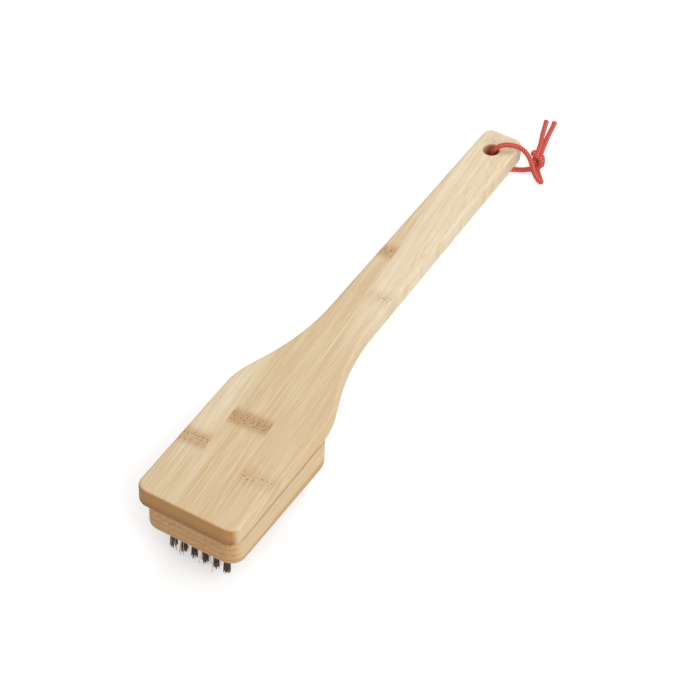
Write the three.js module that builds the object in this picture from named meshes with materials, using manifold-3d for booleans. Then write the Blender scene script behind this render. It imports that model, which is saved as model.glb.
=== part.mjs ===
import * as THREE from 'three';
import { mergeVertices } from 'three/addons/utils/BufferGeometryUtils.js';
import Module from 'manifold-3d';

// Grill brush with a flat bamboo paddle, a bamboo block under its head, wire tufts set in the
// block and a hanging cord through the handle. Millimetres, +X to the handle end, +Z up, the
// bristle tips at Z = 0 and the middle of the length at X = 0.

// Clearances
const GAP = 0.3;
const CUT_PAST = 4;
const WELD = 1e-4;

// Paddle
const LENGTH = 460;
const HEAD_WIDTH = 82.2;
const NECK_WIDTH = 36.6;
const END_WIDTH = 33;
const PADDLE_THICK = 18;
const PADDLE_TOP_ROUND = 2.5;
const PADDLE_LOW_ROUND = 4.5;
const FRONT_CORNER = 10;
const END_CORNER = 7;
const SHOULDER_FROM_FRONT = 117.5;
const SHOULDER_ANGLE = THREE.MathUtils.degToRad(20.7);
const SHOULDER_RADIUS = 62;
const NECK_RADIUS = 200;

// Hanging hole
const HOLE_FROM_END = 22.5;
const HOLE_SHIFT = 1.4;
const HOLE_RADIUS = 6;
const HOLE_RIM_ROUND = 2;

// Brush block, which is thicker behind than in front by the fall of its underside
const BLOCK_WIDTH = 77;
const BLOCK_LENGTH = 128.5;
const BLOCK_THICK = 22;
const BLOCK_FALL = 5.2;
const BLOCK_FROM_FRONT = 3;
const BLOCK_SHIFT = -2.5;
const BLOCK_FRONT_CORNER = 12;
const BLOCK_REAR_CORNER = 17;
const BLOCK_LOW_ROUND = 3;
const BLOCK_TOP_ROUND = 0.6;

// Wire tufts, in rows of six and five by turns, spaced by the block and set a little to its right
const TUFT_FREE = 22;
const TUFT_ROWS = 9;
const TUFTS_ODD_ROW = 6;
const TUFTS_EVEN_ROW = 5;
const TUFT_FROM_FRONT = 9.5;
const TUFT_FROM_REAR = 21.4;
const TUFT_FROM_SIDE = 16.5;
const TUFT_SHIFT = -2.8;
const TUFT_RADIUS = 2.2;
const TUFT_TIP_RADIUS = 2.4;
const TUFT_SET_IN = 14;
const TUFT_SIDES = 12;

// Hanging cord
const CORD_RADIUS = 1.9;
const CORD_SIDES = 8;
const CORD_STEP = 3;
const KNOT_IN_CORDS = [3.3, 3.6, 3.2];

// Facets
const ARC_STEPS = 6;
const HOLE_SIDES = 24;
const RIM_STEPS = 3;
const KNOT_SIDES = 12;
const KNOT_RINGS = 8;

// Finishes: colour, roughness, metalness
const PADDLE_FINISH = [0xdcc49c, 0.55, 0];
const BLOCK_FINISH = [0xcda878, 0.6, 0];
const WIRE_FINISH = [0x5a4d42, 0.45, 0.8];
const CORD_FINISH = [0xcd4b44, 0.85, 0];

// Levels and stations that follow from the sizes above
const FRONT_X = -LENGTH / 2;
const END_X = LENGTH / 2;
const HOLE_X = END_X - HOLE_FROM_END;
const BLOCK_LOW_Z = TUFT_FREE;
const PADDLE_LOW_Z = BLOCK_LOW_Z + BLOCK_THICK;
const PADDLE_TOP_Z = PADDLE_LOW_Z + PADDLE_THICK;
const BLOCK_TOP_Z = PADDLE_LOW_Z - GAP;
const BLOCK_FRONT_X = FRONT_X + BLOCK_FROM_FRONT;
const BLOCK_REAR_X = BLOCK_FRONT_X + BLOCK_LENGTH;
const BLOCK_SLOPE = BLOCK_FALL / BLOCK_LENGTH;
const TUFT_PITCH = (BLOCK_WIDTH - 2 * TUFT_FROM_SIDE) / (TUFTS_ODD_ROW - 1);
const TUFT_ROW_PITCH = (BLOCK_LENGTH - TUFT_FROM_FRONT - TUFT_FROM_REAR) / (TUFT_ROWS - 1);
const CORD_IN_HOLE = HOLE_RADIUS - CORD_RADIUS - GAP;
const CORD_OVER_RIM = HOLE_RIM_ROUND + CORD_RADIUS + GAP;
const RIM_CENTRE = HOLE_RADIUS + HOLE_RIM_ROUND;
const CORNER_ASIDE = END_WIDTH / 2 - END_CORNER + HOLE_SHIFT;
const END_REACH = Math.hypot(HOLE_FROM_END - END_CORNER, CORNER_ASIDE) + END_CORNER;
const SWING_CLEAR = END_REACH + CORD_RADIUS + GAP;

const wasm = await Module();
wasm.setup();

// A closed solid from the surface of a geometry.
function solid(geometry) {
  const bare = geometry.clone();
  bare.deleteAttribute('normal');
  bare.deleteAttribute('uv');
  const merged = mergeVertices(bare, WELD);
  const vertProperties = new Float32Array(merged.attributes.position.array);
  const triVerts = new Uint32Array(merged.index.array);
  return new wasm.Manifold(new wasm.Mesh({ numProp: 3, vertProperties, triVerts }));
}

// The surface of a solid as a flat-shaded geometry.
function surface(body) {
  const mesh = body.getMesh();
  const geometry = new THREE.BufferGeometry();
  geometry.setAttribute('position', new THREE.BufferAttribute(new Float32Array(mesh.vertProperties), 3));
  geometry.setIndex(new THREE.BufferAttribute(new Uint32Array(mesh.triVerts), 1));
  const flat = geometry.toNonIndexed();
  flat.computeVertexNormals();
  return flat;
}

// A straight-sided board between two levels whose edges are rounded by the same radius.
function roundedSlab(shape, lowZ, highZ, round) {
  const geometry = new THREE.ExtrudeGeometry(shape, {
    depth: highZ - lowZ - 2 * round,
    bevelThickness: round,
    bevelSize: round,
    bevelOffset: -round,
    bevelSegments: RIM_STEPS,
    curveSegments: ARC_STEPS,
  });
  geometry.translate(0, 0, lowZ + round);
  return solid(geometry);
}

// A board with one edge radius below and another above.
function board(shape, lowZ, highZ, lowRound, highRound) {
  const spare = 2 * (lowRound + highRound) + CUT_PAST;
  const fromBelow = roundedSlab(shape, lowZ, highZ + spare, lowRound);
  const fromAbove = roundedSlab(shape, lowZ - spare, highZ, highRound);
  return fromBelow.intersect(fromAbove);
}

// A solid of revolution about the vertical through (x, y); the profile runs from low to high.
function turned(profile, sides, x, y) {
  const points = profile.map(([radius, z]) => new THREE.Vector2(radius, z));
  const geometry = new THREE.LatheGeometry(points, sides);
  geometry.rotateX(Math.PI / 2);
  geometry.translate(x, y, 0);
  return geometry;
}

// Plan of the paddle: square head with rounded corners, sloping shoulders, long neck curve and
// a handle that narrows a little towards its end.
function paddlePlan() {
  const head = HEAD_WIDTH / 2;
  const neck = NECK_WIDTH / 2;
  const end = END_WIDTH / 2;
  const quarter = Math.PI / 2;
  const arcDrop = (SHOULDER_RADIUS + NECK_RADIUS) * (1 - Math.cos(SHOULDER_ANGLE));
  const slopeRun = (head - neck - arcDrop) / Math.tan(SHOULDER_ANGLE);
  const shoulderX = FRONT_X + SHOULDER_FROM_FRONT;
  const neckX = shoulderX + (SHOULDER_RADIUS + NECK_RADIUS) * Math.sin(SHOULDER_ANGLE) + slopeRun;
  const frontX = FRONT_X + FRONT_CORNER;
  const endX = END_X - END_CORNER;
  const plan = new THREE.Shape();
  plan.absarc(frontX, FRONT_CORNER - head, FRONT_CORNER, 2 * quarter, 3 * quarter, false);
  const shoulderEnd = SHOULDER_ANGLE - quarter;
  plan.absarc(shoulderX, SHOULDER_RADIUS - head, SHOULDER_RADIUS, -quarter, shoulderEnd, false);
  plan.absarc(neckX, -neck - NECK_RADIUS, NECK_RADIUS, quarter + SHOULDER_ANGLE, quarter, true);
  plan.absarc(endX, END_CORNER - end, END_CORNER, -quarter, 0, false);
  plan.absarc(endX, end - END_CORNER, END_CORNER, 0, quarter, false);
  plan.absarc(neckX, neck + NECK_RADIUS, NECK_RADIUS, -quarter, -quarter - SHOULDER_ANGLE, true);
  plan.absarc(shoulderX, head - SHOULDER_RADIUS, SHOULDER_RADIUS, -shoulderEnd, quarter, false);
  plan.absarc(frontX, head - FRONT_CORNER, FRONT_CORNER, quarter, 2 * quarter, false);
  plan.closePath();
  return plan;
}

// Plan of the block: a rectangle with one corner radius in front and another behind.
function blockPlan() {
  const right = BLOCK_SHIFT - BLOCK_WIDTH / 2;
  const left = BLOCK_SHIFT + BLOCK_WIDTH / 2;
  const quarter = Math.PI / 2;
  const front = BLOCK_FRONT_CORNER;
  const rear = BLOCK_REAR_CORNER;
  const plan = new THREE.Shape();
  plan.absarc(BLOCK_FRONT_X + front, right + front, front, 2 * quarter, 3 * quarter, false);
  plan.absarc(BLOCK_REAR_X - rear, right + rear, rear, -quarter, 0, false);
  plan.absarc(BLOCK_REAR_X - rear, left - rear, rear, 0, quarter, false);
  plan.absarc(BLOCK_FRONT_X + front, left - front, front, quarter, 2 * quarter, false);
  plan.closePath();
  return plan;
}

// Level of the block's underside, which falls towards the handle.
function undersideZ(x) {
  return BLOCK_LOW_Z - BLOCK_SLOPE * (x - BLOCK_FRONT_X);
}

// The block: its sides stretch down to the falling underside, and its top face stays level.
function blockBody() {
  const level = board(blockPlan(), BLOCK_LOW_Z, BLOCK_TOP_Z, BLOCK_LOW_ROUND, BLOCK_TOP_ROUND);
  return level.warp((point) => {
    const depth = (BLOCK_TOP_Z - point[2]) / (BLOCK_TOP_Z - BLOCK_LOW_Z);
    point[2] += depth * (undersideZ(point[0]) - BLOCK_LOW_Z);
  });
}

// The hanging hole with its rims rounded over on both faces.
function holeCutter() {
  const profile = [[0, PADDLE_LOW_Z - CUT_PAST], [RIM_CENTRE, PADDLE_LOW_Z - CUT_PAST]];
  for (let i = 0; i <= RIM_STEPS; i += 1) {
    const turn = (i / RIM_STEPS) * (Math.PI / 2);
    const radius = RIM_CENTRE - HOLE_RIM_ROUND * Math.sin(turn);
    profile.push([radius, PADDLE_LOW_Z + HOLE_RIM_ROUND * (1 - Math.cos(turn))]);
  }
  for (let i = 0; i <= RIM_STEPS; i += 1) {
    const turn = (i / RIM_STEPS) * (Math.PI / 2);
    const radius = RIM_CENTRE - HOLE_RIM_ROUND * Math.cos(turn);
    profile.push([radius, PADDLE_TOP_Z - HOLE_RIM_ROUND * (1 - Math.sin(turn))]);
  }
  profile.push([RIM_CENTRE, PADDLE_TOP_Z + CUT_PAST], [0, PADDLE_TOP_Z + CUT_PAST]);
  return solid(turned(profile, HOLE_SIDES, HOLE_X, HOLE_SHIFT));
}

// Where the tufts stand: rows from front to rear, each row from left to right.
function tuftPlaces() {
  const places = [];
  for (let row = 0; row < TUFT_ROWS; row += 1) {
    const count = row % 2 === 0 ? TUFTS_ODD_ROW : TUFTS_EVEN_ROW;
    const x = BLOCK_FRONT_X + TUFT_FROM_FRONT + row * TUFT_ROW_PITCH;
    for (let place = 0; place < count; place += 1) {
      const y = BLOCK_SHIFT + TUFT_SHIFT + ((count - 1) / 2 - place) * TUFT_PITCH;
      places.push({ name: `tuft_${row + 1}_${place + 1}`, x, y });
    }
  }
  return places;
}

// A bundle of wires, a little wider at its trimmed tip than where it enters the block.
function tuftGeometry({ x, y }) {
  const top = BLOCK_LOW_Z + TUFT_SET_IN - GAP;
  const mouth = undersideZ(x) - GAP;
  const profile = [[0, 0], [TUFT_TIP_RADIUS, 0], [TUFT_RADIUS, mouth], [TUFT_RADIUS, top], [0, top]];
  return turned(profile, TUFT_SIDES, x, y);
}

// The blind hole that a tuft is set in. All of them end at one level.
function tuftSocket({ x, y }) {
  const radius = TUFT_RADIUS + GAP;
  const low = undersideZ(x) - CUT_PAST;
  const high = BLOCK_LOW_Z + TUFT_SET_IN;
  return solid(turned([[0, low], [radius, low], [radius, high], [0, high]], TUFT_SIDES, x, y));
}

// Below the handle the cord turns round the rim of the hole on this bearing, by these degrees.
const CORD_BEARING = THREE.MathUtils.degToRad(-55);
const RIM_TURN = [90, 60, 30];

// Halfway through the handle the cord stands off the hole's axis, as parts of the room there.
const IN_HOLE = [0.84, 0.1];

// The cord turning round the lower rim of the hole, from the face in to the wall.
function roundRim() {
  const points = [];
  for (const degrees of RIM_TURN) {
    const turn = THREE.MathUtils.degToRad(degrees);
    const outward = RIM_CENTRE - CORD_OVER_RIM * Math.cos(turn);
    const x = HOLE_X + outward * Math.cos(CORD_BEARING);
    const y = HOLE_SHIFT + outward * Math.sin(CORD_BEARING);
    const z = PADDLE_LOW_Z + HOLE_RIM_ROUND - CORD_OVER_RIM * Math.sin(turn);
    points.push(new THREE.Vector3(x, y, z));
  }
  return points;
}

// The cord's route, in steps outward from the hole's axis. The lists are drawn for a handle end
// that the loop swings round at this clearance, and they widen or narrow with it.
const DRAWN_CLEAR = 28.15;
const UPPER_ROUTE = [
  [2.1, -0.2, -4.5],
  [1.4, -3.4, 1.6],
  [3.2, -6.2, 4.2],
  [5.5, -9.7, 5.3],
  [7, -12.8, 5.4],
  [9, -17.4, 4.9],
  [9.9, -22.7, 3.2],
  [9.8, -27, 0.2],
  [9.4, -30.3, -4],
  [8.9, -32.6, -8.5],
  [7.8, -35.3, -13],
  [6.9, -38.4, -16.4],
  [6.8, -41.1, -18.4],
  [8.6, -41.7, -19.8],
  [12, -38.8, -20],
  [16.2, -34.6, -18.8],
  [20, -31.8, -15.4],
];
const LOWER_ROUTE = [
  [18.6, -29.8, 5],
  [15.2, -26.7, 1.2],
  [12.9, -23, 0.5],
  [10.6, -17.8, 0],
];
const KNOT_CENTRE = [22.1, -31.2, -13.4];
const TAIL_A = [
  [23, -30, -11.4],
  [35.1, -26, -7.8],
  [43.9, -22.8, -6.4],
  [54.7, -19.5, -5.4],
  [59.6, -18, -4.9],
];
const TAIL_B = [
  [24, -31, -13],
  [39.2, -27.7, -10],
  [49.9, -25.7, -8.5],
  [59.2, -24.4, -7.4],
  [63.8, -23.5, -6.9],
];

// A point of the route at a height above the given level.
function routePoint([dx, dy, up], level) {
  const spread = SWING_CLEAR / DRAWN_CLEAR;
  return new THREE.Vector3(HOLE_X + dx * spread, HOLE_SHIFT + dy * spread, level + up);
}

function overTop(step) {
  return routePoint(step, PADDLE_TOP_Z);
}

function underHandle(step) {
  return routePoint(step, PADDLE_LOW_Z - CORD_RADIUS - GAP);
}

// A plain round cord along a list of points.
function cordAlong(points) {
  const path = new THREE.CatmullRomCurve3(points, false, 'centripetal');
  const section = new THREE.Shape();
  for (let i = 0; i < CORD_SIDES; i += 1) {
    const turn = (i / CORD_SIDES) * 2 * Math.PI;
    const at = [CORD_RADIUS * Math.cos(turn), CORD_RADIUS * Math.sin(turn)];
    if (i === 0) section.moveTo(...at);
    else section.lineTo(...at);
  }
  section.closePath();
  const steps = Math.round(path.getLength() / CORD_STEP);
  return solid(new THREE.ExtrudeGeometry(section, { steps, extrudePath: path, bevelEnabled: false }));
}

// One cord: its loop through the hole, the knot that closes the loop and the two cut tails.
function cordBody() {
  const [across, along] = IN_HOLE.map((part) => part * CORD_IN_HOLE);
  const middleZ = (PADDLE_LOW_Z + PADDLE_TOP_Z) / 2;
  const inHole = new THREE.Vector3(HOLE_X + across, HOLE_SHIFT + along, middleZ);
  const loop = [...LOWER_ROUTE.map(underHandle), ...roundRim(), inHole, ...UPPER_ROUTE.map(overTop)];
  const knot = new THREE.SphereGeometry(CORD_RADIUS, KNOT_SIDES, KNOT_RINGS);
  knot.scale(...KNOT_IN_CORDS);
  const middle = overTop(KNOT_CENTRE);
  knot.translate(middle.x, middle.y, middle.z);
  let body = cordAlong(loop).add(solid(knot));
  for (const tail of [TAIL_A, TAIL_B]) {
    body = body.add(cordAlong(tail.map(overTop)));
  }
  return body;
}

const group = new THREE.Group();
group.name = 'grill_brush';

// Adds one named piece with its own finish.
function place(name, geometry, [color, roughness, metalness]) {
  const finish = new THREE.MeshStandardMaterial({ color, roughness, metalness });
  const mesh = new THREE.Mesh(geometry, finish);
  mesh.name = name;
  group.add(mesh);
}

const places = tuftPlaces();

const paddle = board(paddlePlan(), PADDLE_LOW_Z, PADDLE_TOP_Z, PADDLE_LOW_ROUND, PADDLE_TOP_ROUND);
place('paddle', surface(paddle.subtract(holeCutter())), PADDLE_FINISH);

let block = blockBody();
for (const spot of places) {
  block = block.subtract(tuftSocket(spot));
}
place('brush_block', surface(block), BLOCK_FINISH);

for (const spot of places) {
  place(spot.name, tuftGeometry(spot), WIRE_FINISH);
}

place('hang_cord', surface(cordBody()), CORD_FINISH);

export default group;
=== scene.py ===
"""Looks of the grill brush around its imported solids. Metres, +X to the handle end, +Z up."""
import math
import random

import bmesh
import bpy
import numpy as np
from mathutils import Matrix, Vector


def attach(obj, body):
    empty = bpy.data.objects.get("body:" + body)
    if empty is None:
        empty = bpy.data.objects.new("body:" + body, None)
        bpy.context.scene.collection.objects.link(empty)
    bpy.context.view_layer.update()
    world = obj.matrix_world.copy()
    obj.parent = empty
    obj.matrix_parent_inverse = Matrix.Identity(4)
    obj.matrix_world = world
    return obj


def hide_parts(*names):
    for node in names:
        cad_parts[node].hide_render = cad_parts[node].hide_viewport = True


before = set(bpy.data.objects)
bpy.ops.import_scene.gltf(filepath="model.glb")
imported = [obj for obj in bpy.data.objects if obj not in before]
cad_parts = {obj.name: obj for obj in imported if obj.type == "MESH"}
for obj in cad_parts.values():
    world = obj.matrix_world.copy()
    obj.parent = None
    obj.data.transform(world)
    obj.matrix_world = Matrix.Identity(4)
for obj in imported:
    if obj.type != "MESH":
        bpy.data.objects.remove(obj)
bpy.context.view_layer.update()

MM = 0.001

# Sizes of the solids, in millimetres
FRONT_X, END_X = -230.0, 230.0
HEAD_WIDTH, NECK_WIDTH, END_WIDTH = 82.2, 36.6, 33.0
PADDLE_LOW_Z, PADDLE_TOP_Z = 44.0, 62.0
PADDLE_LOW_ROUND, PADDLE_TOP_ROUND = 4.5, 2.5
FRONT_CORNER, END_CORNER = 10.0, 7.0
SHOULDER_X, SHOULDER_ANGLE, SHOULDER_RADIUS = -112.5, math.radians(20.7), 62.0
NECK_RADIUS = 200.0
HOLE_X, HOLE_SHIFT, HOLE_RADIUS, HOLE_RIM_ROUND = 207.5, 1.4, 6.0, 2.0
BLOCK_FRONT_X, BLOCK_LENGTH, BLOCK_WIDTH, BLOCK_SHIFT = -227.0, 128.5, 77.0, -2.5
BLOCK_LOW_Z, BLOCK_TOP_Z, BLOCK_FALL = 22.0, 43.7, 5.2
BLOCK_FRONT_CORNER, BLOCK_REAR_CORNER = 12.0, 17.0
BLOCK_LOW_ROUND, BLOCK_TOP_ROUND = 3.0, 0.6
TUFT_ROWS, TUFTS_IN_ROW, TUFT_FIRST_X = 9, 6, -217.5
TUFT_ROW_PITCH, TUFT_PITCH, TUFT_SHIFT = 12.2, 8.8, -2.8
SOCKET_RADIUS, SOCKET_DEPTH = 2.5, 14.0
CORD_DIAMETER = 3.8

# The brush rests on its rear tufts and on the cord, so the floor tilts in this frame.
FLOOR_TOUCH_X, FLOOR_TILT = -117.5, math.radians(6.7)


def add_object(name, data):
    made = bpy.data.objects.new(name, data)
    bpy.context.scene.collection.objects.link(made)
    return made


def add_values(mesh, name, values):
    """A number for each point of the mesh, which its material reads by this name."""
    mesh.attributes.new(name, "FLOAT", "POINT").data.foreach_set("value", values)


# Camera: its angles, its place in metres and its lens
CAMERA_TURN = math.radians(-61.16)
CAMERA_RISE = math.radians(45.95)
CAMERA_ROLL = math.radians(-2.83)
CAMERA_AWAY, CAMERA_ACROSS, CAMERA_UP = 1.9, 0.00487, 0.03037
FOCAL_PIXELS, IMAGE_PIXELS, SENSOR = 2598.0, 700, 36.0
CLIP_NEAR, CLIP_FAR = 0.05, 100.0


def camera_axes():
    """Directions to the right of the picture, up it and out of it."""
    right = Vector((math.cos(CAMERA_TURN), math.sin(CAMERA_TURN), 0))
    level = math.cos(CAMERA_RISE)
    back = Vector((math.sin(CAMERA_TURN) * level, -math.cos(CAMERA_TURN) * level, math.sin(CAMERA_RISE)))
    up = back.cross(right)
    across = right * math.cos(CAMERA_ROLL) - up * math.sin(CAMERA_ROLL)
    upward = right * math.sin(CAMERA_ROLL) + up * math.cos(CAMERA_ROLL)
    return across, upward, back


def add_camera():
    across, upward, back = camera_axes()
    target = Vector((0, 0, PADDLE_TOP_Z * MM))
    eye = target - across * CAMERA_ACROSS - upward * CAMERA_UP + back * CAMERA_AWAY
    lens = bpy.data.cameras.new("camera")
    lens.sensor_fit = "HORIZONTAL"
    lens.sensor_width = SENSOR
    lens.lens = FOCAL_PIXELS / IMAGE_PIXELS * SENSOR
    lens.clip_start, lens.clip_end = CLIP_NEAR, CLIP_FAR
    camera = add_object("camera", lens)
    turn = Matrix((across, upward, back)).transposed()
    camera.matrix_world = Matrix.Translation(eye) @ turn.to_4x4()
    bpy.context.scene.camera = camera


# Cord route, in millimetres: steps from the hole's axis and a level, as in the solids
HOLE_MIDDLE = (3.2, 0.4, 53.0)
LOWER_RIM = [(2.5, -3.6, 43.9), (3.4, -4.8, 42.4), (4.6, -6.6, 41.8)]
LOWER_ROUTE = [(10.6, -17.8, 41.8), (12.9, -23.0, 42.3), (15.2, -26.7, 43.0)]
UPPER_ROUTE = [
    (2.1, -0.2, 57.5), (1.4, -3.4, 63.6), (3.2, -6.2, 66.2), (5.5, -9.7, 67.3), (7.0, -12.8, 67.4),
    (9.0, -17.4, 66.9), (9.9, -22.7, 65.2), (9.8, -27.0, 62.2), (9.4, -30.3, 58.0), (8.9, -32.6, 53.5),
    (7.8, -35.3, 49.0), (6.9, -38.4, 45.6), (6.8, -41.1, 43.6), (8.6, -41.7, 42.2), (12.0, -38.8, 42.0),
    (16.2, -34.6, 43.2),
]
TAIL_A = [(35.1, -26.0, 54.2), (43.9, -22.8, 55.6), (54.7, -19.5, 56.6), (59.6, -18.0, 57.1)]
TAIL_B = [(39.2, -27.7, 52.0), (49.9, -25.7, 53.5), (59.2, -24.4, 54.6), (63.8, -23.5, 55.1)]

# The knot of one strand round the other, in millimetres to the right, up and out of the picture
KNOT_CENTRE = Vector((22.1, -31.2, 48.6))
KNOT_TIED = [
    (-3.5, -6.2, -0.5), (0.0, -5.2, 1.5), (1.7, -2.4, 3.6), (1.5, 0.6, 4.4), (-0.4, 2.6, 4.4),
    (-2.6, 4.0, 3.4), (-3.9, 5.6, 1.2), (-2.4, 7.0, -2.4), (0.6, 5.8, -4.8), (3.2, 3.6, -3.6),
    (3.7, 0.4, -1.8), (2.9, -3.0, -1.2), (0.6, -3.8, -1.4), (-2.2, -1.8, -0.6), (-2.8, 1.4, -0.2),
    (-0.9, 5.6, 0.2), (0.8, 9.5, -2.4),
]
KNOT_CORE = [(-0.8, -5.0, -3.0), (0.2, 0.0, -3.2), (2.2, 5.4, -2.2)]

# Points drawn between two points of the route, and the steps of the cord's mesh and of its declared path
CURVE_POINTS = 24
CORD_STEP, PATH_STEP = 0.3, 1.0


def knot_points(steps):
    right, up, out = camera_axes()
    return [tuple(KNOT_CENTRE + right * x + up * y + out * z) for x, y, z in steps]


def smooth_path(points, step):
    """Centripetal curve through the points, at even steps of its length."""
    knots = np.array(points, dtype=float)
    knots = np.vstack([2 * knots[0] - knots[1], knots, 2 * knots[-1] - knots[-2]])
    drawn = []
    for before, start, end, after in zip(knots, knots[1:], knots[2:], knots[3:]):
        gaps = [math.sqrt(np.linalg.norm(b - a)) for a, b in ((before, start), (start, end), (end, after))]
        t0, t1, t2, t3 = np.cumsum([0.0] + gaps)
        for t in np.linspace(t1, t2, CURVE_POINTS, endpoint=False):
            a1 = (before * (t1 - t) + start * (t - t0)) / (t1 - t0)
            a2 = (start * (t2 - t) + end * (t - t1)) / (t2 - t1)
            a3 = (end * (t3 - t) + after * (t - t2)) / (t3 - t2)
            b1 = (a1 * (t2 - t) + a2 * (t - t0)) / (t2 - t0)
            b2 = (a2 * (t3 - t) + a3 * (t - t1)) / (t3 - t1)
            drawn.append((b1 * (t2 - t) + b2 * (t - t1)) / (t2 - t1))
    drawn.append(knots[-2])
    return even_steps(np.array(drawn), step)


def even_steps(path, step):
    run = np.concatenate([[0.0], np.cumsum(np.linalg.norm(np.diff(path, axis=0), axis=1))])
    at = np.linspace(0.0, run[-1], max(2, int(round(run[-1] / step))) + 1)
    return np.stack([np.interp(at, run, path[:, axis]) for axis in range(3)], axis=1)


def cord_halves():
    """The two halves of the one cord, each from the middle of the hole to its tail end."""
    tied = LOWER_RIM + LOWER_ROUTE + knot_points(KNOT_TIED) + TAIL_A
    core = UPPER_ROUTE + knot_points(KNOT_CORE) + TAIL_B
    whole = smooth_path(tied[::-1] + [HOLE_MIDDLE] + core, CORD_STEP)
    cut = int(np.argmin(np.linalg.norm(whole - np.array(HOLE_MIDDLE), axis=1)))
    halves = whole[:cut + 1][::-1], whole[cut:]
    return [half + np.array((HOLE_X, HOLE_SHIFT, 0.0)) for half in halves]


# Braid of the cord: carriers each way round, length of one turn, how far the crossings stand out
# and how high those of the second way stand against the first; that height also sets their painted sheen
CORD_SIDES = 48
BRAID_CARRIERS, BRAID_PITCH, BRAID_RELIEF, BRAID_SECOND = 5, 10.8, 0.16, 0.78
# A crossing: how full it is across its carrier, its height where it dives, its rise from there to the top
# and its mean height
CROSSING_FULL, CROSSING_DIVE, CROSSING_RISE, CROSSING_MEAN = 0.6, 0.55, 0.45, 0.6
# Cut ends: how much they swell, and over how many millimetres they are rounded and sealed
TAIL_BULGE, TAIL_ROUND, TAIL_SEALED = 0.14, 1.5, 2.4
# Where the rounded end is cut flat, as a share of its length
TAIL_FLAT = 0.97


def braid_height(turn, run):
    """Height of the braid's surface, 0 in the crevices and 1 on the crowns."""
    left = BRAID_CARRIERS * (turn / math.tau - run / BRAID_PITCH)
    right = BRAID_CARRIERS * (turn / math.tau + run / BRAID_PITCH)
    across_left, across_right = left % 1.0 - 0.5, right % 1.0 - 0.5
    over = (np.floor(left) + np.floor(right)) % 2.0 == 0.0
    across = np.where(over, across_left, across_right)
    along = np.where(over, across_right, across_left)
    dome = np.cos(math.pi * across) ** CROSSING_FULL
    height = dome * (CROSSING_DIVE + CROSSING_RISE * np.cos(math.pi * along))
    return np.where(over, height, BRAID_SECOND * height)


def path_frames(path):
    """Two directions across the path at each of its points, carried along without twist."""
    ahead = np.gradient(path, axis=0)
    ahead /= np.linalg.norm(ahead, axis=1)[:, None]
    first = np.cross(ahead[0], (0.0, 0.0, 1.0))
    first /= np.linalg.norm(first)
    firsts = []
    for direction in ahead:
        first = first - direction * np.dot(first, direction)
        first /= np.linalg.norm(first)
        firsts.append(first)
    firsts = np.array(firsts)
    return firsts, np.cross(ahead, firsts)


def tube_faces(rings, sides):
    faces = []
    for ring in range(rings - 1):
        for side in range(sides):
            following = (side + 1) % sides
            low, high = ring * sides, (ring + 1) * sides
            faces.append((low + side, low + following, high + following, high + side))
    faces.append(tuple(range(sides))[::-1])
    faces.append(tuple(range((rings - 1) * sides, rings * sides)))
    return faces


def cord_object(name, path):
    run = np.arange(len(path)) * np.linalg.norm(path[1] - path[0])
    left = run[-1] - run
    turn = np.arange(CORD_SIDES) * math.tau / CORD_SIDES
    crown = braid_height(turn[None, :], run[:, None])
    radius = CORD_DIAMETER / 2 + BRAID_RELIEF * (crown - CROSSING_MEAN)
    radius *= 1 + TAIL_BULGE * np.exp(-((left - TAIL_ROUND) / TAIL_ROUND) ** 2)[:, None]
    cap = np.clip(1 - left / TAIL_ROUND, 0.0, TAIL_FLAT)
    radius *= np.sqrt(1 - cap ** 2)[:, None]
    firsts, seconds = path_frames(path)
    reach = np.cos(turn)[None, :, None] * firsts[:, None] + np.sin(turn)[None, :, None] * seconds[:, None]
    points = (path[:, None] + radius[:, :, None] * reach).reshape(-1, 3) * MM
    mesh = bpy.data.meshes.new(name)
    mesh.from_pydata(points.tolist(), [], tube_faces(len(path), CORD_SIDES))
    # The crown heights also set the yarn's painted sheen and painted shade
    add_values(mesh, "crown", crown.ravel())
    add_values(mesh, "sealed", np.repeat(np.clip(1 - left / TAIL_SEALED, 0.0, 1.0), CORD_SIDES))
    mesh.shade_smooth()
    return add_object(name, mesh)


def add_cords(material):
    """One cord through the hole, drawn as its two halves from the middle of the hole."""
    for name, path in zip(("cord_tied", "cord_core"), cord_halves()):
        cord = cord_object(name, path)
        cord.data.materials.append(material)
        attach(cord, "cord_loop")
        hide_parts("hang_cord")


# Fineness of the boards' round forms
ARC_POINTS, ROUND_STEPS, HOLE_SIDES, SOCKET_SIDES = 24, 8, 64, 24


def arc(x, y, radius, start, end):
    """Points of an arc; the angles are in quarter turns."""
    turns = np.linspace(start, end, ARC_POINTS) * math.pi / 2
    return np.stack([x + radius * np.cos(turns), y + radius * np.sin(turns)], axis=1)


def paddle_outline(inset):
    """Plan of the paddle, drawn in from its edge by the inset."""
    half_head, half_neck, half_end = HEAD_WIDTH / 2, NECK_WIDTH / 2, END_WIDTH / 2
    slope = SHOULDER_ANGLE / (math.pi / 2)
    drop = (SHOULDER_RADIUS + NECK_RADIUS) * (1 - math.cos(SHOULDER_ANGLE))
    run = (half_head - half_neck - drop) / math.tan(SHOULDER_ANGLE)
    neck_x = SHOULDER_X + (SHOULDER_RADIUS + NECK_RADIUS) * math.sin(SHOULDER_ANGLE) + run
    side = np.vstack([
        arc(FRONT_X + FRONT_CORNER, FRONT_CORNER - half_head, FRONT_CORNER - inset, 2, 3),
        arc(SHOULDER_X, SHOULDER_RADIUS - half_head, SHOULDER_RADIUS - inset, -1, slope - 1),
        arc(neck_x, -half_neck - NECK_RADIUS, NECK_RADIUS + inset, 1 + slope, 1),
        arc(END_X - END_CORNER, END_CORNER - half_end, END_CORNER - inset, -1, 0),
    ])
    return np.vstack([side, side[::-1] * (1, -1)])


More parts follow.
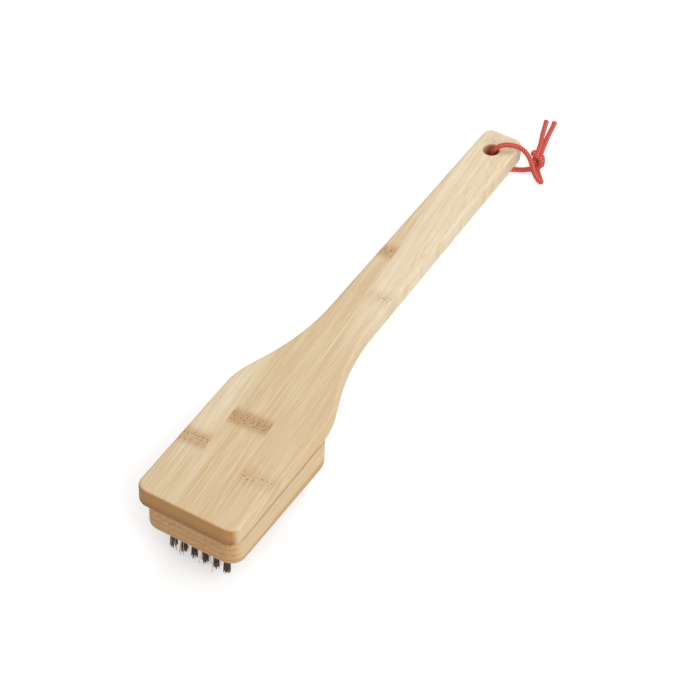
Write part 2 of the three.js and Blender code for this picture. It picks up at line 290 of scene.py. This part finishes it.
def block_outline(inset):
    """Plan of the block, drawn in from its edge by the inset."""
    right, left = BLOCK_SHIFT - BLOCK_WIDTH / 2, BLOCK_SHIFT + BLOCK_WIDTH / 2
    front, rear = BLOCK_FRONT_CORNER, BLOCK_REAR_CORNER
    front_x, rear_x = BLOCK_FRONT_X + front, BLOCK_FRONT_X + BLOCK_LENGTH - rear
    return np.vstack([
        arc(front_x, right + front, front - inset, 2, 3),
        arc(rear_x, right + rear, rear - inset, -1, 0),
        arc(rear_x, left - rear, rear - inset, 0, 1),
        arc(front_x, left - front, front - inset, 1, 2),
    ])


def edge_profile(low_z, top_z, low_round, top_round):
    """Inset and height of the board's edge, from the lower face to the upper one."""
    turns = [math.pi / 2 * step / ROUND_STEPS for step in range(ROUND_STEPS + 1)]
    lower = [(low_round * (1 - math.sin(turn)), low_z + low_round * (1 - math.cos(turn))) for turn in turns]
    upper = [(top_round * (1 - math.cos(turn)), top_z - top_round * (1 - math.sin(turn))) for turn in turns]
    return lower + upper


class Board:
    """A board built ring by ring, with holes in its faces."""

    def __init__(self, name):
        self.name = name
        self.mesh = bmesh.new()

    def ring(self, plan, z):
        """Corners on the plan, at one height or at a height for each of them."""
        heights = np.broadcast_to(z, len(plan))
        return [self.mesh.verts.new((x * MM, y * MM, up * MM)) for (x, y), up in zip(plan, heights)]

    def skin(self, rings):
        for low, high in zip(rings, rings[1:]):
            for index, corner in enumerate(low):
                following = (index + 1) % len(low)
                self.mesh.faces.new((corner, low[following], high[following], high[index]))

    def fill(self, loops):
        edges = []
        for loop in loops:
            for index, corner in enumerate(loop):
                pair = (corner, loop[(index + 1) % len(loop)])
                edges.append(self.mesh.edges.get(pair) or self.mesh.edges.new(pair))
        bmesh.ops.triangle_fill(self.mesh, edges=edges, use_beauty=True)

    def finish(self, material):
        bmesh.ops.recalc_face_normals(self.mesh, faces=self.mesh.faces)
        data = bpy.data.meshes.new(self.name)
        self.mesh.to_mesh(data)
        self.mesh.free()
        data.shade_smooth()
        data.materials.append(material)
        made = add_object(self.name, data)
        made.modifiers.new("even_faces", "WEIGHTED_NORMAL")
        return made


def circle(x, y, radius, sides):
    turns = np.arange(sides) * math.tau / sides
    return np.stack([x + radius * np.cos(turns), y + radius * np.sin(turns)], axis=1)


def add_paddle(material):
    board = Board("bamboo_paddle_board")
    edge = edge_profile(PADDLE_LOW_Z, PADDLE_TOP_Z, PADDLE_LOW_ROUND, PADDLE_TOP_ROUND)
    rings = [board.ring(paddle_outline(inset), z) for inset, z in edge]
    board.skin(rings)
    rim = edge_profile(PADDLE_LOW_Z, PADDLE_TOP_Z, HOLE_RIM_ROUND, HOLE_RIM_ROUND)
    hole = [board.ring(circle(HOLE_X, HOLE_SHIFT, HOLE_RADIUS + inset, HOLE_SIDES), z) for inset, z in rim]
    board.skin(hole)
    board.fill([rings[0], hole[0]])
    board.fill([rings[-1], hole[-1]])
    paddle = board.finish(material)
    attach(paddle, "brush")
    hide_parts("paddle")


def tuft_places():
    """Node name and place of each tuft, in rows of six and five by turns."""
    for row in range(TUFT_ROWS):
        count = TUFTS_IN_ROW - row % 2
        for place in range(count):
            y = BLOCK_SHIFT + TUFT_SHIFT + ((count - 1) / 2 - place) * TUFT_PITCH
            yield f"tuft_{row + 1}_{place + 1}", TUFT_FIRST_X + row * TUFT_ROW_PITCH, y


def underside(x):
    """Height of the block's underside, which falls towards the handle."""
    return BLOCK_LOW_Z - BLOCK_FALL * (x - BLOCK_FRONT_X) / BLOCK_LENGTH


def add_block(material):
    board = Board("bamboo_brush_block")
    rings = []
    for inset, z in edge_profile(BLOCK_LOW_Z, BLOCK_TOP_Z, BLOCK_LOW_ROUND, BLOCK_TOP_ROUND):
        plan = block_outline(inset)
        depth = (BLOCK_TOP_Z - z) / (BLOCK_TOP_Z - BLOCK_LOW_Z)
        rings.append(board.ring(plan, z + depth * (underside(plan[:, 0]) - BLOCK_LOW_Z)))
    board.skin(rings)
    mouths = []
    for _, x, y in tuft_places():
        plan = circle(x, y, SOCKET_RADIUS, SOCKET_SIDES)
        socket = [board.ring(plan, BLOCK_LOW_Z + SOCKET_DEPTH), board.ring(plan, underside(plan[:, 0]))]
        board.skin(socket)
        board.mesh.faces.new(socket[0])
        mouths.append(socket[1])
    board.fill([rings[0]] + mouths)
    board.fill([rings[-1]])
    block = board.finish(material)
    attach(block, "brush")
    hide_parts("brush_block")


# Wires of a tuft: most end ragged, and a few pale strays lean out and reach lowest
WIRES, WIRE_RADIUS, WIRE_SIDES, WIRE_STEPS = 52, 0.23, 5, 5
BUNDLE_RADIUS, WIRE_LEAN, WIRE_BEND, WIRE_FLARE = 1.8, 1.4, 0.35, 1.3
WIRE_TURN_SPREAD, LEAN_LEAST, LEAN_MOST = 0.3, 0.4, 1.1
TIP_LOWEST, TIP_HIGHEST = 1.4, 4.0
STRAY_SHARE, STRAY_LEAN, STRAY_TIP = 0.08, 2.8, 0.5
STRAY_TONE, WIRE_TONE_MOST = 1.0, 0.8
GOLDEN_TURN = math.pi * (3 - math.sqrt(5))
WIRE_SEED = 11
# Room left over a wire's upper end in its socket
SOCKET_ROOM = 1.0


def wire_path(x, y, wire, stray, chance):
    """Centre line of one wire of a tuft, from its socket down to its tip."""
    spread = math.sqrt((wire + 0.5) / WIRES)
    turn = wire * GOLDEN_TURN + chance.uniform(-WIRE_TURN_SPREAD, WIRE_TURN_SPREAD)
    lean = WIRE_LEAN * chance.uniform(LEAN_LEAST, LEAN_MOST) * spread * (STRAY_LEAN if stray else 1.0)
    drift = chance.uniform(0, math.tau)
    tip = chance.uniform(0, STRAY_TIP) if stray else chance.uniform(TIP_LOWEST, TIP_HIGHEST)
    top = BLOCK_LOW_Z + SOCKET_DEPTH - SOCKET_ROOM
    path = []
    for step in range(WIRE_STEPS + 1):
        z = top + (tip - top) * step / WIRE_STEPS
        free = max(0.0, 1 - z / underside(x))
        reach = BUNDLE_RADIUS * spread + lean * free ** WIRE_FLARE
        bend = WIRE_BEND * math.sin(math.pi * free)
        across_x = reach * math.cos(turn) + bend * math.cos(drift)
        across_y = reach * math.sin(turn) + bend * math.sin(drift)
        path.append((x + across_x, y + across_y, z))
    return path


def add_tuft(name, x, y, material, chance):
    points, faces, tones = [], [], []
    for wire in range(WIRES):
        stray = chance.random() < STRAY_SHARE
        tone = STRAY_TONE if stray else WIRE_TONE_MOST * chance.random()
        first = len(points)
        for middle_x, middle_y, z in wire_path(x, y, wire, stray, chance):
            rim = circle(middle_x, middle_y, WIRE_RADIUS, WIRE_SIDES)
            points.extend((px * MM, py * MM, z * MM) for px, py in rim)
        tones.extend([tone] * (len(points) - first))
        for face in tube_faces(WIRE_STEPS + 1, WIRE_SIDES):
            faces.append(tuple(first + corner for corner in face[::-1]))
    mesh = bpy.data.meshes.new(name)
    mesh.from_pydata(points, [], faces)
    add_values(mesh, "tone", tones)
    mesh.materials.append(material)
    mesh.shade_smooth()
    tuft = add_object(f"wires_{name}", mesh)
    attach(tuft, "brush")
    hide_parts(name)


# Fineness of a noise, and the value that it varies about
PLAIN_DETAIL, RICH_DETAIL = 2.0, 3.0
NOISE_MEAN = 0.5
# Sockets of a mix node that are for colours
MIX_PART, MIX_FIRST, MIX_SECOND, MIX_COLOUR = 0, 6, 7, 2
WHITE = (1, 1, 1, 1)


class Shader:
    """The nodes of a material or world, with short calls for those that it is made of."""

    def __init__(self, owner):
        self.owner = owner
        self.owner.use_nodes = True
        self.tree = self.owner.node_tree
        self.tree.nodes.clear()

    def node(self, kind, inputs, **settings):
        made = self.tree.nodes.new(kind)
        for key, value in settings.items():
            setattr(made, key, value)
        for socket, value in inputs.items():
            if isinstance(value, bpy.types.NodeSocket):
                self.tree.links.new(value, made.inputs[socket])
            else:
                made.inputs[socket].default_value = value
        return made

    def math(self, operation, *values):
        return self.node("ShaderNodeMath", dict(enumerate(values)), operation=operation).outputs[0]

    def add(self, *values):
        total = values[0]
        for value in values[1:]:
            total = self.math("ADD", total, value)
        return total

    def times(self, *values):
        product = values[0]
        for value in values[1:]:
            product = self.math("MULTIPLY", product, value)
        return product

    def clamp(self, value):
        return self.math("MINIMUM", self.math("MAXIMUM", value, 0.0), 1.0)

    def mix(self, part, first, second):
        inputs = {MIX_PART: part, MIX_FIRST: first, MIX_SECOND: second}
        return self.node("ShaderNodeMix", inputs, data_type="RGBA").outputs[MIX_COLOUR]

    def step(self, value, low, high, most=1.0):
        """0 at the first limit, the most at the second, smooth between."""
        inputs = {"Value": value, "From Min": low, "From Max": high, "To Max": most}
        return self.node("ShaderNodeMapRange", inputs, interpolation_type="SMOOTHSTEP").outputs[0]

    def noise(self, place, detail):
        vector = self.node("ShaderNodeCombineXYZ", dict(enumerate(place))).outputs[0]
        return self.node("ShaderNodeTexNoise", {"Vector": vector, "Scale": 1.0, "Detail": detail}).outputs[0]

    def solid_noise(self, place, scales, detail=PLAIN_DETAIL):
        """Noise in space, with a scale for each direction."""
        return self.noise([self.times(part, scale) for part, scale in zip(place, scales)], detail)

    def flat_noise(self, along, across, kind, detail=PLAIN_DETAIL):
        """Noise on a plane; the kind gives its two scales and the plane's level."""
        along_scale, across_scale, level = kind
        return self.noise((self.times(along, along_scale), self.times(across, across_scale), level), detail)

    def sway(self, noise, reach):
        """The noise about 0, times the reach."""
        return self.times(self.add(noise, -NOISE_MEAN), reach)

    def place(self):
        """Place on the object in millimetres, as x, y and z."""
        place = self.node("ShaderNodeTexCoord", {}).outputs["Object"]
        inputs = {0: place, 1: (1 / MM, 1 / MM, 1 / MM)}
        scaled = self.node("ShaderNodeVectorMath", inputs, operation="MULTIPLY")
        return self.node("ShaderNodeSeparateXYZ", {0: scaled.outputs[0]}).outputs[:3]

    def facing(self):
        """Direction that the surface faces, as x, y and z."""
        normal = self.node("ShaderNodeTexCoord", {}).outputs["Normal"]
        return self.node("ShaderNodeSeparateXYZ", {0: normal}).outputs[:3]

    def value(self, name):
        """The number that each point of the mesh has under this name."""
        return self.node("ShaderNodeAttribute", {}, attribute_name=name).outputs["Fac"]

    def bump(self, height, distance):
        return self.node("ShaderNodeBump", {"Height": height, "Distance": distance * MM}).outputs[0]

    def surface(self, inputs):
        shade = self.node("ShaderNodeBsdfPrincipled", inputs)
        self.node("ShaderNodeOutputMaterial", {"Surface": shade.outputs[0]})
        return self.owner


# Bamboo: strips side by side, turned a little from the handle's line and leaning through the board
GRAIN_TURN, GRAIN_LEAN = math.radians(4.5), 0.3
STRIP_WIDTH, STRIP_BLEND, STRIP_FRAY = 32.0, 1.5, 8.0
# Places along the board between which a strip turns paler, by how much, and its tone before that
RIGHT_STRIP = (-70.0, 40.0, 0.5, 0.3)
MIDDLE_STRIP = (20.0, 170.0, 0.4, 0.3)
LEFT_STRIP = (-210.0, -150.0, 0.25, 0.35)
# Noise of the grain: cycles per millimetre along it and across it, and the level in the noise
FINE, BROAD, THREAD = (0.014, 1.2, 0.0), (0.006, 0.16, 3.0), (0.035, 2.2, 5.0)
SPECK, BLOTCH = (0.09, 0.6, 8.0), (0.5, 0.7, 2.0)
FINE_REACH, BROAD_REACH = 1.3, 0.7
# Limits between which an effect grows, and its strength in full
DARK_THREADS, PALE_THREADS = (0.54, 0.70, 0.34), (0.44, 0.30, 0.4)
FLECKS, FLECKS_ALONG, FLECKS_ACROSS = (0.5, 0.68, 0.4), (-60.0, 40.0), (-8.0, -18.0)
# The hole's wall and the inside of its rim take the end grain's brown
HOLE_WALL_BROWN = (HOLE_RADIUS + 0.9, HOLE_RADIUS + 0.05, 0.7)
PADDLE_ENDS = (0.3, 0.8)
END_PORES, END_PORES_SHOWN = (0.2, 1.1, 1.3), (0.42, 0.7, 0.7)
# Painted shade: the faces across the grain turn darker towards the paddle's underside
END_PAINTED_SHADE = (PADDLE_TOP_Z - 6, PADDLE_LOW_Z + 2, 0.6)
WOOD_GLOSS = 0.2
PADDLE_ROUGH, PADDLE_ROUGH_GRAIN, PADDLE_BUMP = 0.45, 0.15, 0.1
BAMBOO_PALE = (0.82, 0.70, 0.51, 1)
BAMBOO_DEEP = (0.60, 0.42, 0.22, 1)
BAMBOO_LINE = (0.47, 0.29, 0.12, 1)
BAMBOO_MARK = (0.43, 0.24, 0.095, 1)
BAMBOO_DOT = (0.21, 0.10, 0.04, 1)
END_GRAIN = (0.53, 0.28, 0.098, 1)
# The dark colour of the end grain, also used as painted shade low on the paddle's ends
END_GRAIN_DARK_AND_SHADE = (0.26, 0.115, 0.04, 1)

# Marks of the cane's nodes: strip, place along it, how deep the tint is and how far the dots reach
NODE_MARKS = [
    (0, -135.5, 1.0, 4.5), (0, 65.5, 0.8, 4.0), (1, -167.0, 0.85, 4.5),
    (-1, -180.5, 0.3, 2.4), (-1, 18.7, 0.25, 1.8), (-1, 217.2, 0.1, 0.8),
]
# Limits of a mark's tint before and behind its middle, and how its edges are blurred and frayed
MARK_FRONT, MARK_REAR = (-11.0, -4.0), (11.0, 3.0)
MARK_BLUR, MARK_FRAY = 1.0, 14.0
MARK_STRENGTH, MARK_BLOTCH, MARK_EVEN = 0.9, 1.2, 0.1
# Dots of a mark: their scales along and across the grain, the edge of a dot, which of them are kept
# and how they show on the top face
DOT_SCALES, DOT_EDGE = (0.42, 0.5), (0.36, 0.14)
DOTS_KEPT, DOTS_ON_TOP = (0.3, 0.5), (0.6, 0.9, 0.75)


def grain_axes(shader, x, y):
    """Place along the grain and across it."""
    cosine, sine = math.cos(GRAIN_TURN), math.sin(GRAIN_TURN)
    along = shader.add(shader.times(x, cosine), shader.times(y, sine))
    across = shader.add(shader.times(y, cosine), shader.times(x, -sine))
    return along, across


def strip_level(shader, x, strip):
    start, end, gain, tone = strip
    return shader.add(shader.step(x, start, end, gain), tone)


def strip_tone(shader, x, across, thread):
    """How pale each strip of the board is along its length."""
    strips = RIGHT_STRIP, MIDDLE_STRIP, LEFT_STRIP
    right, middle, left = [strip_level(shader, x, strip) for strip in strips]
    frayed = shader.add(across, shader.sway(thread, STRIP_FRAY))
    past_first = shader.step(frayed, -STRIP_BLEND, STRIP_BLEND)
    past_second = shader.step(frayed, STRIP_WIDTH - STRIP_BLEND, STRIP_WIDTH + STRIP_BLEND)
    level = shader.add(right, shader.times(past_first, shader.math("SUBTRACT", middle, right)))
    return shader.add(level, shader.times(past_second, shader.math("SUBTRACT", left, level)))


def mark_dots(shader, along, across):
    """Scattered dots, 1 inside a dot and 0 between them."""
    parts = [shader.times(part, scale) for part, scale in zip((along, across), DOT_SCALES)]
    place = shader.node("ShaderNodeCombineXYZ", dict(enumerate(parts))).outputs[0]
    inputs = {"Vector": place, "Scale": 1.0}
    cells = shader.node("ShaderNodeTexVoronoi", inputs, voronoi_dimensions="2D").outputs
    kept = shader.node("ShaderNodeSeparateColor", {0: cells["Color"]}).outputs[0]
    return shader.times(shader.step(cells["Distance"], *DOT_EDGE), shader.step(kept, *DOTS_KEPT))


def between(shader, value, low, high):
    """1 between the limits, blurred at both of them, and 0 outside."""
    return shader.times(shader.step(value, low, low + MARK_BLUR), shader.step(value, high, high - MARK_BLUR))


def node_marks(shader, along, across, thread):
    """How strongly the tint of the cane's nodes shows, and the dark dots in it."""
    blotch = shader.flat_noise(along, across, BLOTCH)
    frayed = shader.add(along, shader.sway(thread, MARK_FRAY))
    tint, dots = 0.0, 0.0
    for strip, middle, depth, reach in NODE_MARKS:
        inside = between(shader, across, strip * STRIP_WIDTH, (strip + 1) * STRIP_WIDTH)
        past = shader.add(frayed, -middle)
        band = shader.times(shader.step(past, *MARK_FRONT), shader.step(past, *MARK_REAR), inside, depth)
        near = shader.times(between(shader, past, -reach - MARK_BLUR, reach + MARK_BLUR), inside)
        tint = shader.math("MAXIMUM", tint, band)
        dots = shader.math("MAXIMUM", dots, near)
    tint = shader.times(tint, shader.add(shader.times(blotch, MARK_BLOTCH), MARK_EVEN))
    return tint, shader.times(dots, mark_dots(shader, along, across))


def paddle_material():
    shader = Shader(bpy.data.materials.new("bamboo_paddle"))
    x, y, z = shader.place()
    facing_x, _, facing_z = shader.facing()
    along, across = grain_axes(shader, x, y)
    leaning = shader.add(across, shader.times(z, GRAIN_LEAN))
    fine, broad, thread = [shader.flat_noise(along, leaning, kind) for kind in (FINE, BROAD, THREAD)]
    streaks = shader.add(shader.sway(fine, FINE_REACH), shader.sway(broad, BROAD_REACH))
    tone = shader.clamp(shader.add(strip_tone(shader, x, across, thread), streaks))
    colour = shader.mix(tone, BAMBOO_DEEP, BAMBOO_PALE)
    colour = shader.mix(shader.step(thread, *DARK_THREADS), colour, BAMBOO_LINE)
    colour = shader.mix(shader.step(thread, *PALE_THREADS), colour, BAMBOO_PALE)
    speck = shader.flat_noise(along, across, SPECK, RICH_DETAIL)
    flecked = shader.times(shader.step(x, *FLECKS_ALONG), shader.step(across, *FLECKS_ACROSS))
    colour = shader.mix(shader.times(shader.step(speck, *FLECKS), flecked), colour, BAMBOO_DEEP)
    tint, dots = node_marks(shader, along, across, thread)
    colour = shader.mix(shader.clamp(shader.times(tint, MARK_STRENGTH)), colour, BAMBOO_MARK)
    colour = shader.mix(shader.times(dots, shader.step(facing_z, *DOTS_ON_TOP)), colour, BAMBOO_DOT)
    pores = shader.solid_noise((x, y, z), END_PORES, RICH_DETAIL)
    # Pores of the end grain, plus painted shade growing towards the bottom of the paddle
    end_pores_and_shade = shader.add(shader.step(pores, *END_PORES_SHOWN), shader.step(z, *END_PAINTED_SHADE))
    end_colour = shader.mix(shader.clamp(end_pores_and_shade), END_GRAIN, END_GRAIN_DARK_AND_SHADE)
    ends = shader.step(shader.math("ABSOLUTE", facing_x), *PADDLE_ENDS)
    colour = shader.mix(ends, colour, end_colour)
    # Brown of the end grain on the hole's wall and the inside of its rim
    from_hole_x = shader.math("POWER", shader.add(x, -HOLE_X), 2.0)
    from_hole_y = shader.math("POWER", shader.add(y, -HOLE_SHIFT), 2.0)
    from_hole = shader.math("SQRT", shader.add(from_hole_x, from_hole_y))
    colour = shader.mix(shader.step(from_hole, *HOLE_WALL_BROWN), colour, END_GRAIN)
    rough = shader.add(shader.times(fine, PADDLE_ROUGH_GRAIN), PADDLE_ROUGH)
    inputs = {"Base Color": colour, "Roughness": rough, "Specular IOR Level": WOOD_GLOSS}
    return shader.surface({**inputs, "Normal": shader.bump(fine, PADDLE_BUMP)})


# Block: plies one over the other, seen as bands on its edges
PLY_THICK = 5.5
PLY_WANDER, PLY_WANDER_REACH = (0.02, 0.05, 4.0), 1.6
SEAM_ABOVE, SEAM_BELOW = (0.12, 0.02), (0.9, 0.99)
SEAM_ON_SIDE, SEAM_ON_END = 0.12, 0.3
PLY_GRAIN, PLY_PORES = (0.02, 0.7, 0.8), (0.2, 0.5, 1.8)
PLY_GRAIN_GAIN, PLY_OWN_GAIN, PLY_TONE_SHIFT = 1.4, 0.3, -0.35
# Limits between which an effect grows, and its strength in full
BLOCK_BOTTOM_BAND = (BLOCK_LOW_Z + 6, BLOCK_LOW_Z + 4, 0.75)
BLOCK_ENDS, BLOCK_EDGES = (0.3, 0.85), (0.9, 0.5)
PLY_PORES_SHOWN = (0.4, 0.7, 0.5)
BLOCK_ROUGH, BLOCK_BUMP = 0.55, 0.12
PLY_PALE = (0.74, 0.57, 0.35, 1)
PLY_DEEP = (0.57, 0.39, 0.20, 1)
BLOCK_BOTTOM_BROWN = (0.51, 0.31, 0.135, 1)
PLY_END = (0.66, 0.39, 0.175, 1)


def block_material():
    shader = Shader(bpy.data.materials.new("bamboo_block"))
    x, y, z = shader.place()
    facing_x, _, facing_z = shader.facing()
    along, across = grain_axes(shader, x, y)
    wander = shader.times(shader.flat_noise(x, y, PLY_WANDER), PLY_WANDER_REACH)
    ply = shader.times(shader.add(z, wander), 1 / PLY_THICK)
    in_ply = shader.math("FRACT", ply)
    seam = shader.math("MAXIMUM", shader.step(in_ply, *SEAM_ABOVE), shader.step(in_ply, *SEAM_BELOW))
    number = shader.math("FLOOR", ply)
    ply_tone = shader.node("ShaderNodeTexWhiteNoise", {"W": number}, noise_dimensions="1D").outputs[0]
    fine = shader.solid_noise((along, across, z), PLY_GRAIN, RICH_DETAIL)
    own_tone = shader.times(ply_tone, PLY_OWN_GAIN)
    tone = shader.clamp(shader.add(shader.times(fine, PLY_GRAIN_GAIN), own_tone, PLY_TONE_SHIFT))
    colour = shader.mix(tone, PLY_DEEP, PLY_PALE)
    # Darker brown towards the bottom of the block
    colour = shader.mix(shader.step(z, *BLOCK_BOTTOM_BAND), colour, BLOCK_BOTTOM_BROWN)
    pores = shader.solid_noise((x, y, z), PLY_PORES, RICH_DETAIL)
    end_colour = shader.mix(shader.step(pores, *PLY_PORES_SHOWN), PLY_END, END_GRAIN_DARK_AND_SHADE)
    ends = shader.step(shader.math("ABSOLUTE", facing_x), *BLOCK_ENDS)
    colour = shader.mix(ends, colour, end_colour)
    edges = shader.step(shader.math("ABSOLUTE", facing_z), *BLOCK_EDGES)
    line = shader.times(seam, edges, shader.add(shader.times(ends, SEAM_ON_END), SEAM_ON_SIDE))
    colour = shader.mix(line, colour, END_GRAIN_DARK_AND_SHADE)
    inputs = {"Base Color": colour, "Roughness": BLOCK_ROUGH, "Specular IOR Level": WOOD_GLOSS}
    return shader.surface({**inputs, "Normal": shader.bump(fine, BLOCK_BUMP)})


# Wire: brownish steel, darkened with painted shade for the tufts that stand under the block; each wire with
# its own tone, the strays tan and less metallic
WIRE_STREAK, WIRE_STREAK_GAIN = (3.0, 3.0, 0.4), 1.6
STRAY_LIMITS, STRAY_EVEN = (0.85, 0.95), 0.45
WIRE_METAL, STRAY_METAL_LOSS, WIRE_ROUGH = 0.35, 0.3, 0.5
# Both wire colours are darkened with painted shade for the tufts under the block
WIRE_DARK_SHADED = (0.034, 0.017, 0.009, 1)
WIRE_LIGHT_SHADED = (0.15, 0.08, 0.042, 1)
WIRE_TAN = (0.72, 0.47, 0.30, 1)


def wire_material():
    shader = Shader(bpy.data.materials.new("steel_wire"))
    tone = shader.value("tone")
    streak = shader.solid_noise(shader.place(), WIRE_STREAK)
    light = shader.clamp(shader.times(tone, streak, WIRE_STREAK_GAIN))
    colour = shader.mix(light, WIRE_DARK_SHADED, WIRE_LIGHT_SHADED)
    stray = shader.step(tone, *STRAY_LIMITS)
    colour = shader.mix(shader.times(stray, shader.add(streak, STRAY_EVEN)), colour, WIRE_TAN)
    metal = shader.add(shader.times(stray, -STRAY_METAL_LOSS), WIRE_METAL)
    return shader.surface({"Base Color": colour, "Metallic": metal, "Roughness": WIRE_ROUGH})


# Cord: braided yarn, with painted shade in the crevices of the braid and a painted sheen on its crowns, and
# darker where the cut ends are sealed by heat
FIBRE, FIBRE_GAIN = (4.0, 4.0, 4.0), 0.3
FADED, FADED_GAIN = (0.12, 0.12, 0.12), 0.3
CROWN_SHEEN_LIMITS, YARN_SHIFT = (0.4, 0.95), -0.3
SEALED_LIMITS = (0.25, 0.9)
YARN_ROUGH, YARN_GLOSS, YARN_BUMP = 0.8, 0.15, 0.08
YARN_CROWN_SHEEN = (0.81, 0.24, 0.18, 1)
YARN_CREVICE_SHADE = (0.50, 0.05, 0.042, 1)
YARN_SEALED = (0.28, 0.045, 0.035, 1)


def cord_material():
    shader = Shader(bpy.data.materials.new("red_cord"))
    place = shader.place()
    fibre = shader.solid_noise(place, FIBRE, RICH_DETAIL)
    faded = shader.solid_noise(place, FADED)
    varied = shader.add(shader.times(fibre, FIBRE_GAIN), shader.times(faded, FADED_GAIN), YARN_SHIFT)
    # Painted sheen on the high crowns of the braid, painted shade down in its crevices
    light = shader.add(shader.step(shader.value("crown"), *CROWN_SHEEN_LIMITS), varied)
    colour = shader.mix(shader.clamp(light), YARN_CREVICE_SHADE, YARN_CROWN_SHEEN)
    colour = shader.mix(shader.step(shader.value("sealed"), *SEALED_LIMITS), colour, YARN_SEALED)
    inputs = {"Base Color": colour, "Roughness": YARN_ROUGH, "Specular IOR Level": YARN_GLOSS}
    return shader.surface({**inputs, "Normal": shader.bump(fibre, YARN_BUMP)})


# Studio: white floor and background, a wide soft light above and behind, and one from the front right
FLOOR_SIZE = 12.0
FLOOR_GLOW, FLOOR_SHADED, FLOOR_PLAIN = 0.4, (0.85, 0.85, 0.85, 1), (0.8, 0.8, 0.8, 1)
KEY_FROM, KEY_AWAY, KEY_SIZE, KEY_POWER = Vector((0.6, 0.05, 1.0)), 2.1, 1.7, 17.0
FILL_FROM, FILL_AWAY, FILL_SIZE, FILL_POWER = Vector((-0.45, -1.0, 0.95)), 2.0, 1.6, 24.5
AMBIENT = 0.42


def seen_directly(shader):
    """1 for what the camera sees, straight, in a gloss or through glass, else 0."""
    path = shader.node("ShaderNodeLightPath", {}).outputs
    mirrored = shader.math("MAXIMUM", path["Is Glossy Ray"], path["Is Transmission Ray"])
    return shader.math("MAXIMUM", path["Is Camera Ray"], mirrored)


def floor_material():
    """White to the eye with the object's shadow on it, and plain where it only reflects light."""
    shader = Shader(bpy.data.materials.new("white_floor"))
    bright = shader.node("ShaderNodeEmission", {"Color": WHITE, "Strength": FLOOR_GLOW})
    shaded = shader.node("ShaderNodeBsdfDiffuse", {"Color": FLOOR_SHADED})
    white = shader.node("ShaderNodeAddShader", {0: bright.outputs[0], 1: shaded.outputs[0]})
    plain = shader.node("ShaderNodeBsdfDiffuse", {"Color": FLOOR_PLAIN})
    inputs = {0: seen_directly(shader), 1: plain.outputs[0], 2: white.outputs[0]}
    mixed = shader.node("ShaderNodeMixShader", inputs)
    shader.node("ShaderNodeOutputMaterial", {"Surface": mixed.outputs[0]})
    return shader.owner


def add_floor():
    half = FLOOR_SIZE / 2
    corners = [(-half, -half), (half, -half), (half, half), (-half, half)]
    rise = math.tan(FLOOR_TILT)
    points = [(x, y, (x - FLOOR_TOUCH_X * MM) * rise) for x, y in corners]
    mesh = bpy.data.meshes.new("floor")
    mesh.from_pydata(points, [], [(0, 1, 2, 3)])
    mesh.materials.append(floor_material())
    add_object("floor", mesh)


def add_light(name, direction, away, size, power):
    """A square lamp that lies in the direction from the object and faces it."""
    lamp = bpy.data.lights.new(name, "AREA")
    lamp.size = size
    lamp.energy = power
    made = add_object(name, lamp)
    made.location = direction.normalized() * away
    made.rotation_euler = direction.to_track_quat("Z", "Y").to_euler()


def add_world():
    shader = Shader(bpy.data.worlds.new("studio"))
    strength = shader.node("ShaderNodeMapRange", {"Value": seen_directly(shader), "To Min": AMBIENT})
    background = shader.node("ShaderNodeBackground", {"Color": WHITE, "Strength": strength.outputs[0]})
    shader.node("ShaderNodeOutputWorld", {"Surface": background.outputs[0]})
    bpy.context.scene.world = shader.owner


bpy.context.scene.view_settings.view_transform = "Standard"
add_camera()
add_world()
add_floor()
add_light("key", KEY_FROM, KEY_AWAY, KEY_SIZE, KEY_POWER)
add_light("fill", FILL_FROM, FILL_AWAY, FILL_SIZE, FILL_POWER)
add_paddle(paddle_material())
add_block(block_material())
wire = wire_material()
chance = random.Random(WIRE_SEED)
for name, x, y in tuft_places():
    add_tuft(name, x, y, wire, chance)
add_cords(cord_material())
